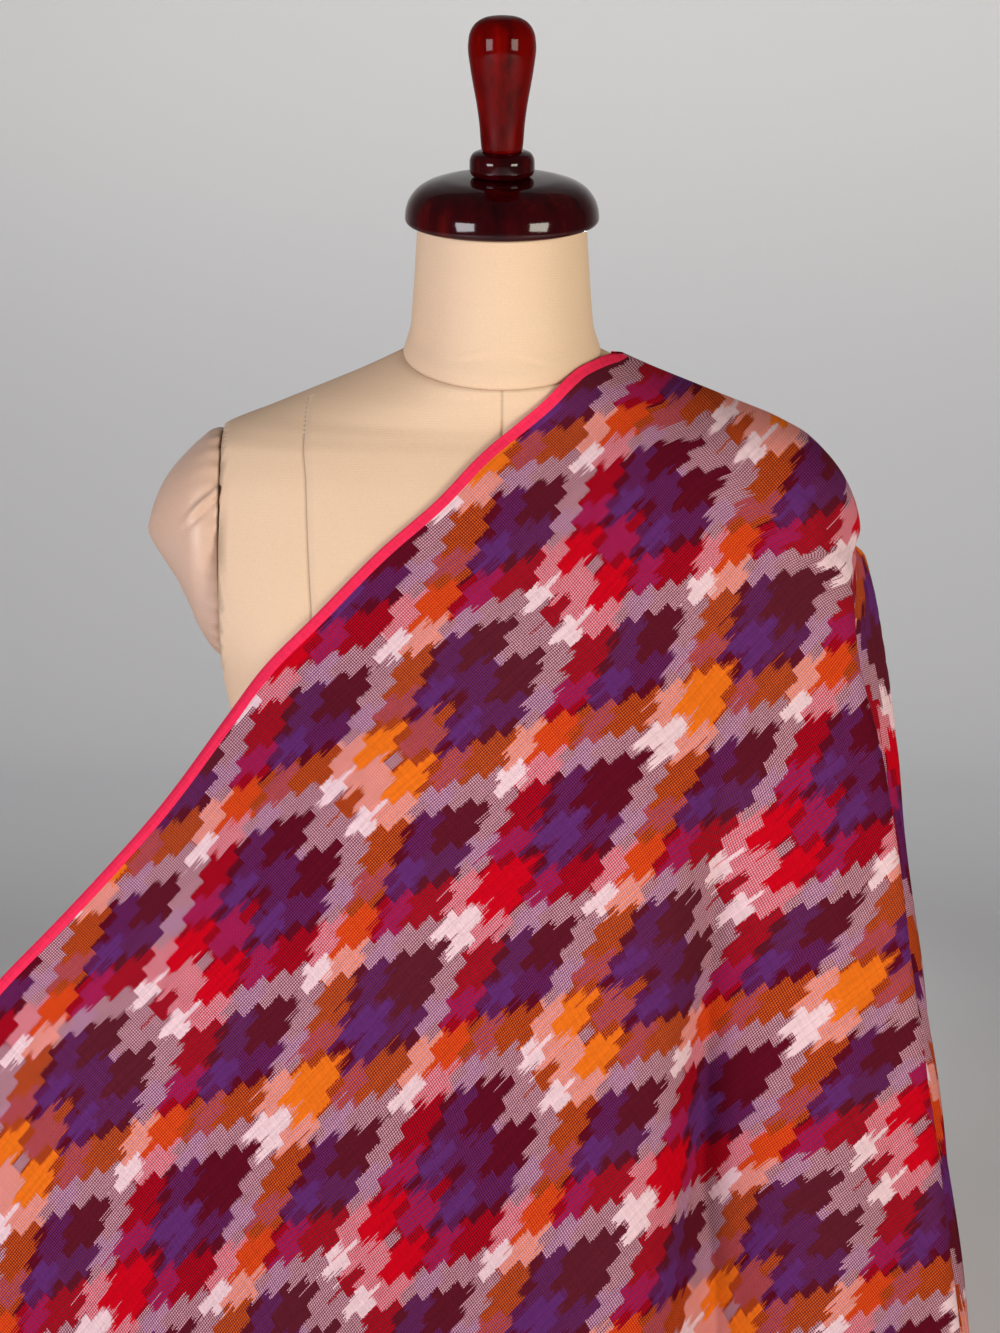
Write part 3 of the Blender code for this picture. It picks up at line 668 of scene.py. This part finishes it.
class Drape:
    # level sections of the cloth, worked out from the top down: taut round the form, and below
    # its widest places hanging straight down from them
    def __init__(self, covers):
        vertices, faces = [], []
        for cover in covers:
            base = len(vertices)
            vertices += [v.co.copy() for v in cover.data.vertices]
            faces += [[base + k for k in p.vertices] for p in cover.data.polygons]
        self.tree = BVHTree.FromPolygons(vertices, faces)
        self.front, self.back = {}, {}
        self.reached = cloth["top"] + cloth["levelStep"]
        self.stations = [k * cloth["stationStep"] for k in range(-30, 31)]
        self.frontEdge, self.backEdge = curvesOf(cloth["frontEdge"]), curvesOf(cloth["backEdge"])
        self.folds = curvesOf(cloth["folds"])

    def touch(self, start, direction):
        hit = self.tree.ray_cast(Vector(start), Vector(direction))[0]
        return None if hit is None else (hit.x, hit.y)

    @staticmethod
    def lift(z):
        return cloth["lift"] * float(smoothStep((z - cloth["tip"]) / (cloth["shoulder"] - cloth["tip"])))

    def edge(self, curves, z, facing):
        x, y = [float(c(z)) for c in curves]
        hit = self.touch((x, facing, z - self.lift(z)), (0, -facing, 0))
        if hit:
            y = facing * max(facing * y, facing * hit[1] + cloth["clear"])
        return (x, y)

    def lowerTo(self, z):
        while self.reached > z:
            self.reached = max(self.reached - cloth["levelStep"], z)
            level = self.reached - self.lift(self.reached)
            for x in self.stations:
                ahead = self.touch((x, -1, level), (0, 1, 0))
                behind = self.touch((x, 1, level), (0, -1, 0))
                if ahead:
                    self.front[x] = min(self.front.get(x, 1.0), ahead[1] - cloth["clear"])
                    self.back[x] = max(self.back.get(x, -1.0), behind[1] + cloth["clear"])

    def side(self, z):
        level = z - self.lift(z)
        hits = [self.touch((1, y, level), (-1, 0, 0)) for y in self.stations
                if abs(y) < cloth["sideHalf"]]
        return [(hit[0] + cloth["clear"], hit[1]) for hit in hits if hit]

    def keys(self, z):
        self.lowerTo(z)
        start, end = self.edge(self.frontEdge, z, -1), self.edge(self.backEdge, z, 1)
        frontX, frontY, rearX, rearY, valley = [float(c(z)) for c in self.folds]
        ahead, behind = (frontX, frontY), (rearX, rearY)
        hanging = z < cloth["tip"]
        limit = frontX - 0.01 if hanging else 1.0
        points = [(x, y) for x, y in self.front.items() if start[0] < x < limit]
        points += [(x, y) for x, y in self.back.items() if end[0] < x < limit]
        points += [ahead, behind] if hanging else self.side(z)
        path = hullPath(start, points, end)
        if hanging:
            before = path[:path.index(ahead) + 1]
            after = path[path.index(behind):]
            across = np.subtract(behind, ahead)
            inward = np.array([-across[1], across[0]]) / np.hypot(*across)
            middle = tuple(np.add(ahead, behind) / 2 + inward * valley)
            return before + [middle] + after, lengthsAlong(np.array(before + [middle]))[-1]
        tip = max(range(len(path)), key=lambda k: path[k][0])
        return path, lengthsAlong(np.array(path))[tip]

    def section(self, z):
        path, valley = self.keys(z)
        fine = resample(path, cloth["fine"])
        for _ in range(cloth["smoothings"]):
            fine[1:-1] = 0.25 * fine[:-2] + 0.5 * fine[1:-1] + 0.25 * fine[2:]
        along = lengthsAlong(fine)
        total = along[-1]
        valley *= total / lengthsAlong(np.array(path))[-1]
        reach = max(math.hypot(float(self.folds[4](z)), cloth["halfFolds"]), 0.10 * total)
        reach = min(reach, 0.45 * valley, 0.45 * (total - valley))
        foldX = np.interp(valley - reach, along, fine[:, 0])
        first = max(cloth["troughZone"][0], 0.6 * fine[0][0] + 0.4 * foldX)
        last = min(cloth["troughZone"][1], 0.75 * foldX + 0.25 * first)
        ahead = along < valley - reach
        zone = list(np.interp([first, last], fine[ahead, 0], along[ahead]))
        marks = [0.0, *zone, valley - reach, valley, valley + reach, total]
        wanted = [0.0]
        for low, high, count in zip(marks, marks[1:], cloth["columns"]):
            wanted += list(np.linspace(low, high, count + 1)[1:])
        points = np.column_stack([np.interp(wanted, along, fine[:, k]) for k in (0, 1)])
        return points, self.soften(points, z)

    def soften(self, points, z):
        # troughs are pressed in no further than onto the form, and crests raised
        outward = outwardNormals(points)
        moved = points.copy()
        facing = np.where(points[:, 1] < 0, -1, 1)
        for side, x, lean, start, full, depth, left, right in cloth["troughs"]:
            share = (start - z) / (start - full)
            grown = math.sin(math.pi / 2 * min(max(share, 0.0), 1.0))
            middle = x + lean * grown
            width = np.where(points[:, 0] < middle, left, right) * (1 + grown) / 2
            push = grown * depth * np.exp(-np.abs((points[:, 0] - middle) / width) ** 1.6)
            moved -= outward * (push * (facing == side))[:, None]
        if z < cloth["bust"]:
            for k, (x, y) in enumerate(moved):
                way = int(facing[k])
                hit = self.touch((x, way, z), (0, -way, 0))
                if hit and way * y < way * hit[1] + cloth["clear"]:
                    moved[k][1] = hit[1] + way * cloth["clear"]
        return moved


def poolWidths(count):
    pool = cloth["pool"]
    marks = np.cumsum([0, *cloth["columns"]])
    first, valley, rear = marks[3], marks[4], marks[5]
    places = [0, 0.22 * first, 0.6 * first, first, valley, rear, count - 1]
    names = ["corner", "front", "front", "side", "side", "side", "back"]
    wide = np.interp(range(count), places, [pool[name] for name in names])
    return wide * (1 + sum(share * np.sin(np.arange(count) * turn) for share, turn in cloth["waves"]))


def clothRows():
    # rows of points down the cloth and out onto the surface, and the same rows before softening
    drape = Drape([torsoCover, neckCover, rightCap])
    share = np.linspace(0, 1, cloth["upperRows"] + 1) ** 1.3
    high = cloth["top"] + (cloth["bust"] - cloth["top"]) * share
    low = np.linspace(cloth["bust"], cloth["floorBend"], cloth["lowerRows"] + 1)[1:]
    plain, rows = [], []
    for z in [*high, *low]:
        before, after = drape.section(float(z))
        plain.append([(*p, z) for p in before])
        rows.append([(*p, z) for p in after])
    rows, plain = np.array(rows), np.array(plain)
    for _ in range(3):
        rows[1:-1] = 0.25 * rows[:-2] + 0.5 * rows[1:-1] + 0.25 * rows[2:]
    for row in rows:
        for k, point in enumerate(row):
            here = Vector(point)
            nearest = drape.tree.find_nearest(here, cloth["nearest"])[0]
            if nearest:
                row[k] = nearest + (here - nearest).normalized() * cloth["nearest"]
    foot = rows[-1][:, :2]
    outward = outwardNormals(foot)
    lowest = cloth["thick"] / 2 + 0.0002
    radius = cloth["floorBend"] - lowest
    extra, down = [], []
    for degrees in (18, 36, 54, 72, 90):
        angle = math.radians(degrees)
        place = foot + outward * radius * (1 - math.cos(angle))
        level = np.full(len(foot), cloth["floorBend"] - radius * math.sin(angle))
        extra.append(np.column_stack([place, level]))
        down.append(np.full(len(foot), radius * angle))
    wide = poolWidths(len(foot))
    for share in np.linspace(0, 1, 9)[1:]:
        place = foot + outward * (radius + share * wide)[:, None]
        ripple = cloth["ripple"] * share * (1 + np.sin(np.arange(len(foot)) * 0.23))
        extra.append(np.column_stack([place, lowest + ripple]))
        down.append(radius * math.pi / 2 + share * wide)
    return rows, plain, np.array(extra), np.array(down)


def pulled(u, v):
    # on the bias the weft leans over more and more, and the warp bows towards both ends
    steady = np.minimum(v, ikat["leanUntil"])
    lean = ikat["lean"] * (steady ** 2 + 2 * ikat["leanUntil"] * (v - steady))
    bow = ikat["leftBow"] * smoothStep((0.09 - u) / 0.16)
    bow += ikat["rightBow"] * smoothStep((u - 0.19) / 0.14)
    slack = ikat["rightSlack"] * smoothStep((u - 0.22) / 0.06)
    slack += ikat["leftSlack"] * smoothStep((-0.05 - u) / 0.10) * smoothStep((v - 0.15) / 0.10)
    near = smoothStep((u + 0.05) / 0.10) * (1 - smoothStep((v - 0.05) / 0.05))
    across = v + bow * smoothStep(v / 0.09) - ikat["nearTuck"] * near
    # the part between the neck and the front fold hangs a little lower along its warp
    eased = np.maximum(smoothStep((v - 0.24) / 0.06), smoothStep((u - 0.27) / 0.06))
    drop = ikat["drop"] - ikat["dropEased"] * eased
    return u * (1 - ikat["shrink"]) - ikat["set"] - drop + lean + slack, across


def threadPlaces(rows, plain, extra, down):
    # where every point of the cloth lies along and across its warp, for the front and for the back
    eye = Vector(camera["place"])
    reachTo = (ikat["plane"] - eye.y) / (rows[:, :, 1] - eye.y)
    flatX = eye.x + reachTo * (rows[:, :, 0] - eye.x)
    high = eye.z + reachTo * (rows[:, :, 2] - eye.z)
    trueStep = np.linalg.norm(np.diff(rows[:, :, :2], axis=1), axis=2)
    plainStep = np.linalg.norm(np.diff(plain[:, :, :2], axis=1), axis=2)
    valley = int(sum(cloth["columns"][:4]))
    plainReach = (ikat["plane"] - eye.y) / (plain[:, :, 1] - eye.y)
    plainX = eye.x + plainReach * (plain[:, :, 0] - eye.x)
    step = np.maximum(np.diff(plainX, axis=1), 0.6 * plainStep) + trueStep - plainStep
    across = flatX[:, :1] + np.concatenate([np.zeros((len(rows), 1)), np.cumsum(step, axis=1)], axis=1)
    across = np.concatenate([across, np.repeat(across[-1:], len(extra), axis=0)])
    high = np.concatenate([high, high[-1:] - down])
    slope = math.radians(ikat["slope"])
    along = across * math.cos(slope) + high * math.sin(slope)
    beside = across * math.sin(slope) - high * math.cos(slope)
    order = np.argsort(along[:, 0])
    frontV = beside - np.interp(along, along[order, 0], beside[order, 0])
    front = np.stack([*pulled(along - ikat["start"], frontV), frontV], axis=2)
    level = np.concatenate([np.zeros((len(rows), 1)), np.cumsum(trueStep, axis=1)], axis=1)
    fromBack = level[:, -1:] - level
    rise = np.clip(level - level[:, valley:valley + 1], 0, None)
    rearColumn = int(sum(cloth["columns"][:5]))
    rise = np.minimum(rise, rise[:, rearColumn:rearColumn + 1])
    fall = cloth["top"] - rows[:, :, 2] + ikat["backRise"] * rise
    fromBack = np.concatenate([fromBack, np.repeat(fromBack[-1:], len(extra), axis=0)])
    fall = np.concatenate([fall, fall[-1:] + down])
    back = np.stack([ikat["backStart"] + fall, fromBack, fromBack], axis=2)
    return front, back, valley


def buildCloth():
    rows, plain, extra, down = clothRows()
    front, back, valley = threadPlaces(rows, plain, extra, down)
    everyRow = np.concatenate([rows, extra])
    total, count = everyRow.shape[:2]
    faces, sides = [], []
    for k in range(total - 1):
        for j in range(count - 1):
            here, below = k * count + j, (k + 1) * count + j
            faces.append((here, below, below + 1, here + 1))
            sides.append(j < valley)
    piece = addMesh("ikatCloth", everyRow.reshape(-1, 3), faces)
    threads = piece.data.uv_layers.new(name="threads")
    edges = piece.data.uv_layers.new(name="edges")
    front, back = front.reshape(-1, 3), back.reshape(-1, 3)
    for polygon, isFront in zip(piece.data.polygons, sides):
        source = front if isFront else back
        for loop in polygon.loop_indices:
            place = source[piece.data.loops[loop].vertex_index]
            threads.data[loop].uv = place[:2]
            edges.data[loop].uv = (place[0], place[2])
    wall = piece.modifiers.new("wall", "SOLIDIFY")
    wall.thickness = cloth["thick"]
    wall.offset = 0.0
    wall.use_even_offset = False
    applyAll(piece)
    piece.data.shade_smooth()
    hung = lengthsAlong(rows[:, 0])[-1]
    width = [lengthsAlong(row)[-1] for row in rows]
    print("cloth hung: front edge %.3f m, sections %.3f to %.3f m" % (hung, min(width), max(width)))
    return piece


ikatCloth = buildCloth()


# finishes

def ikatFinish():
    made = Finish("ikatCotton", Roughness=0.95, Specular_IOR_Level=0.05)
    u, v, _ = made.split(made.uv("threads"))
    cell, mesh, step = ikat["cell"], ikat["mesh"], ikat["stepAcross"]
    count = sum(width for width, _ in ikat["repeat"])
    warpThread = made.math("FLOOR", v * (2 / mesh))
    weftThread = made.math("FLOOR", u * (2 / mesh))
    warpChance, weftChance = made.random(warpThread), made.random(weftThread + 0.37)
    bundle = made.math("FLOOR", (v - ikat["bigLine"]) / step + 0.5)
    # each thread slips a little against its neighbours, so every edge of a colour is feathered
    rare = made.math("GREATER_THAN", made.random(warpThread + 0.71), ikat["rareAbove"])
    threes = made.random(made.math("FLOOR", warpThread / 3))
    warpSlip = ((warpChance - 0.5) * ikat["slip"] + (threes - 0.5) * ikat["slipThree"]
                + (made.random(bundle + 0.5) - 0.5) * ikat["slipBundle"]
                + rare * (warpChance - 0.5) * ikat["slipRare"])
    weftSlip = (weftChance - 0.5) * ikat["slipWeft"]
    lazy = (made.noise(made.joined(u, v), 9.0, 1.0) - 0.5) * ikat["slipSlow"]

    def dyed(place):
        stops, at, bleed = [], 0.0, ikat["bleed"]
        for width, dye in ikat["repeat"]:
            colour = shade(ikat["dyes"][dye])
            stops.append(((at + bleed) / count, colour))
            stops.append(((at + width - bleed) / count, colour))
            at += width
        return made.ramp(made.math("FLOORED_MODULO", place / cell, count) / count, stops)

    turned = made.math("PINGPONG", bundle * step, ikat["halfTurn"])
    away = made.math("GREATER_THAN", turned, 0.4 * step)
    warp = dyed(u - 2 * turned + ikat["lag"] * away + warpSlip + lazy)
    group = (made.math("FLOOR", u / cell) + 0.5) * cell
    smooth = made.math("PINGPONG", v - ikat["bigLine"] + weftSlip, ikat["halfTurn"])
    weft = dyed(group + 2 * smooth + lazy)
    # an open weave: the lighter yarn shows as dots between gaps of the darker one
    uneven = ikat["uneven"] * (made.noise(made.joined(u, v), 700.0, 1.0) - 0.5)
    acrossGap = made.math("PINGPONG", (u + uneven) / mesh, 0.5)
    alongGap = made.math("PINGPONG", (v + uneven) / mesh, 0.5)
    fromGap = made.math("MINIMUM", acrossGap, alongGap)
    dot = made.math("GREATER_THAN", fromGap, ikat["gap"])
    apart = made.brightness(warp) - made.brightness(weft)
    lighter = made.math("GREATER_THAN", apart, 0.0)
    # crossed by another colour the light yarn looks darker and redder
    strange = made.math("MINIMUM", made.math("ABSOLUTE", apart) * 5.0, 1.0)
    warmth = made.mix(strange, (1.0, 1.0, 1.0, 1.0), ikat["crossed"])
    dots = made.mix(1.0, made.mix(lighter, weft, warp), warmth, "MULTIPLY")
    woven = made.mix(dot, made.mix(lighter, warp, weft), dots)
    fromEdge = made.split(made.uv("edges"))[1]
    inEdge = made.math("LESS_THAN", fromEdge, ikat["selvedgeWide"])
    colour = made.mix(inEdge, woven, shade(ikat["selvedge"]))
    cloudy = made.noise(made.joined(u * 160, v * 900), 1.0, 2.0)
    mottled = made.noise(made.joined(u, v), 420.0, 2.0)
    part = ikat["tone"]
    # the dots of the weave are painted a little lighter than its gaps: painted light on the raised yarn and
    # painted shade between
    tone = (part["least"] + part["warp"] * warpChance + part["weft"] * weftChance
            + part["cloudy"] * cloudy + part["mottled"] * mottled + part["dot"] * dot)
    colour = made.mix(1.0, colour, made.joined(tone, tone, tone), "MULTIPLY")
    height = made.math("MINIMUM", fromGap, 0.3) + 0.12 * cloudy
    normal = made.bump(height, 0.00035, 0.5)
    return made.feed(Base_Color=colour, Normal=normal)


knitted = {
    "row": 0.00104, "sway": 0.0012,          # the height of two rows, and how far they wander
    "stitchLong": 0.0026, "stitchFrom": 0.640, "stitchTo": 0.6625, "stitchBeyond": 0.08,
    # the dark brown of the sewn lines, also used as painted shade at the armholes and the neck seam
    "thread": "4A2E1C", "stitch": "F2E2CC",
    "tone": {"least": 0.80, "knit": 0.16, "fine": 0.16, "broad": 0.12},
}


def jerseyFinish(name, tint, shadow, shine):
    made = Finish(name, Roughness=0.75 - 0.32 * shine, Specular_IOR_Level=0.12 + 0.38 * shine)
    x, y, z = made.split(made.place())
    seamAndShadeMask, high, _ = made.split(made.uv("sewing"))
    # knitted rows, a fine fleck and slow changes of tone
    wander = made.noise(made.joined(x * 14, y * 14, z * 14), 1.0, 1.0)
    knit = made.math("PINGPONG", (z + knitted["sway"] * wander) / knitted["row"], 0.5)
    fine = made.noise(made.joined(x * 900, y * 900, z * 1200), 1.0, 2.0)
    broad = made.noise(made.place(), 7.0, 2.0)
    part = knitted["tone"]
    light = part["least"] + part["knit"] * knit + part["fine"] * fine + part["broad"] * broad
    colour = made.mix(wander, shade(tint), shade(shadow))
    colour = made.mix(1.0, colour, made.joined(light, light, light), "MULTIPLY")
    dashes = made.math("PINGPONG", high / knitted["stitchLong"], 0.5)
    stitch = (made.math("GREATER_THAN", dashes, 0.28)
              * made.math("GREATER_THAN", high, knitted["stitchFrom"])
              * made.math("LESS_THAN", high, knitted["stitchTo"])
              * made.math("GREATER_THAN", made.math("ABSOLUTE", x), knitted["stitchBeyond"]))
    # the dark thread colour marks the seams and also paints shade into the crevices at the armholes and
    # under the neck roll
    thread = made.mix(stitch, shade(knitted["thread"]), shade(knitted["stitch"]))
    colour = made.mix(made.math("MINIMUM", seamAndShadeMask * 0.9, 0.85), colour, thread)
    normal = made.bump(0.5 * knit + 0.5 * fine, 0.0003, 0.45)
    return made.feed(Base_Color=colour, Normal=normal)


def woodFinish(name, dark, middle, light, coat):
    made = Finish(name, Roughness=0.45, Coat_Weight=coat, Coat_Roughness=0.08, Specular_IOR_Level=0.0)
    x, y, z = made.split(made.place())
    grain = made.noise(made.joined(x * 120, y * 120, z * 9), 1.0, 4.0, 0.6)
    streak = made.noise(made.joined(x * 28, y * 28, z * 3), 1.0, 2.0)
    stops = [(0.30, shade(dark)), (0.52, shade(middle)), (0.68, shade(light)),
             (0.84, shade(woodCap["amber"]))]
    colour = made.ramp(0.5 * grain + 0.5 * streak, stops)
    normal = made.bump(grain, 0.0002, 0.08)
    return made.feed(Base_Color=colour, Normal=normal)


def give(piece, material, slot, *nodes):
    piece.data.materials.clear()
    piece.data.materials.append(material)
    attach(piece, "root")
    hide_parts(*nodes)


cotton = ikatFinish()
jersey = jerseyFinish("jerseyCover", "F2D2B4", "E8C4A4", 0.0)
satin = jerseyFinish("capCover", "E0BCA8", "D8B096", 1.0)
# the dome and collar take a darker copy of the mahogany: painted shade, as their tops face up away from the
# frontal lamps; the handle keeps the brighter copy
shadedWood = woodFinish("shadedMahogany", "180103", "360206", "5A0A0A", 0.8)
redWood = woodFinish("redMahogany", "3A0101", "700301", "961404", 0.30)

give(ikatCloth, cotton, "ikat_cotton", "cloth")
give(torsoCover, jersey, "jersey", "form_torso")
give(neckCover, jersey, "jersey", "form_neck")
give(leftCap, satin, "jersey", "arm_cap_left")
give(rightCap, satin, "jersey", "arm_cap_right")
give(capDome, shadedWood, "turned_wood", "neck_cap")
give(capCollar, shadedWood, "turned_wood", "cap_collar")
give(capHandle, redWood, "turned_wood", "cap_handle")
print("finishes given")


# backdrop and light

# the paper is painted lighter from its foot colour to its top colour, up the wall: painted light
stage = {"wide": 12.0, "front": -5.0, "wall": 2.9, "tall": 4.5,
         "low": "EEEEF2", "high": "FAFAFC", "paintedLightFrom": 0.40, "paintedLightTo": 1.05,
         "bend": 0.6, "glow": 0.06}

lights = [
    # name, place, aims at, size, watts, colour, spread in degrees
    ("left", (-1.55, -1.65, 0.80), (0.0, 0.0, 0.50), (0.9, 0.9), 31, (0.96, 0.96, 1.0), 180),
    ("right", (1.55, -1.65, 0.80), (0.0, 0.0, 0.50), (0.9, 0.9), 31, (1.0, 0.96, 0.82), 180),
    ("wall", (0.4, 1.6, 1.75), (0.4, 2.9, 1.00), (3.6, 0.2), 9.8, (1.0, 0.99, 0.96), 165),
    ("rear", (0.05, 2.0, 0.32), (0.0, 0.0, 0.52), (0.6, 0.2), 3.5, (1.0, 0.98, 0.95), 70),
]


def buildStage():
    deselect()
    bpy.ops.mesh.primitive_plane_add(size=1, location=(0, 0, 0))
    floor = bpy.context.object
    floor.name = "backdrop"
    bpy.ops.object.mode_set(mode="EDIT")
    bpy.ops.transform.resize(value=(stage["wide"], stage["wall"] - stage["front"], 1))
    bpy.ops.transform.translate(value=(0, (stage["wall"] + stage["front"]) / 2, 0))
    bpy.ops.mesh.select_all(action="DESELECT")
    bpy.ops.object.mode_set(mode="OBJECT")
    for edge in floor.data.edges:
        edge.select = all(floor.data.vertices[k].co.y > 0 for k in edge.vertices)
    bpy.ops.object.mode_set(mode="EDIT")
    bpy.ops.mesh.select_mode(type="EDGE")
    bpy.ops.mesh.extrude_region_move(TRANSFORM_OT_translate={"value": (0, 0, stage["tall"])})
    bpy.ops.object.mode_set(mode="OBJECT")
    for edge in floor.data.edges:
        places = [floor.data.vertices[k].co for k in edge.vertices]
        edge.select = all(p.y > 0 and p.z < 0.01 for p in places)
    bpy.ops.object.mode_set(mode="EDIT")
    bpy.ops.mesh.bevel(offset=stage["bend"], segments=16, affect="EDGES")
    bpy.ops.object.mode_set(mode="OBJECT")
    floor.data.shade_smooth()
    made = Finish("backdropPaintedLight", Roughness=0.9, Specular_IOR_Level=0.1)
    _, _, z = made.split(made.place())
    # painted light: the paper grows lighter up the wall
    stops = [(0.0, shade(stage["low"])), (1.0, shade(stage["high"]))]
    paintedLightShare = (z - stage["paintedLightFrom"]) / (stage["paintedLightTo"] - stage["paintedLightFrom"])
    made.feed(Base_Color=made.ramp(paintedLightShare, stops, "EASE"))
    floor.data.materials.append(made.material)


def buildLights():
    for name, place, target, size, watts, colour, spread in lights:
        data = bpy.data.lights.new(name, "AREA")
        data.shape = "RECTANGLE"
        data.size, data.size_y = size
        data.energy = watts
        data.color = colour
        data.spread = math.radians(spread)
        lamp = bpy.data.objects.new(name, data)
        lamp.location = place
        lamp.rotation_euler = (Vector(target) - Vector(place)).to_track_quat("-Z", "Y").to_euler()
        scene.collection.objects.link(lamp)
    world = bpy.data.worlds.new("studio")
    world.use_nodes = True
    world.node_tree.nodes["Background"].inputs[0].default_value = (1.0, 1.0, 1.0, 1.0)
    world.node_tree.nodes["Background"].inputs[1].default_value = stage["glow"]
    scene.world = world


buildStage()
buildLights()
print("stage lit")
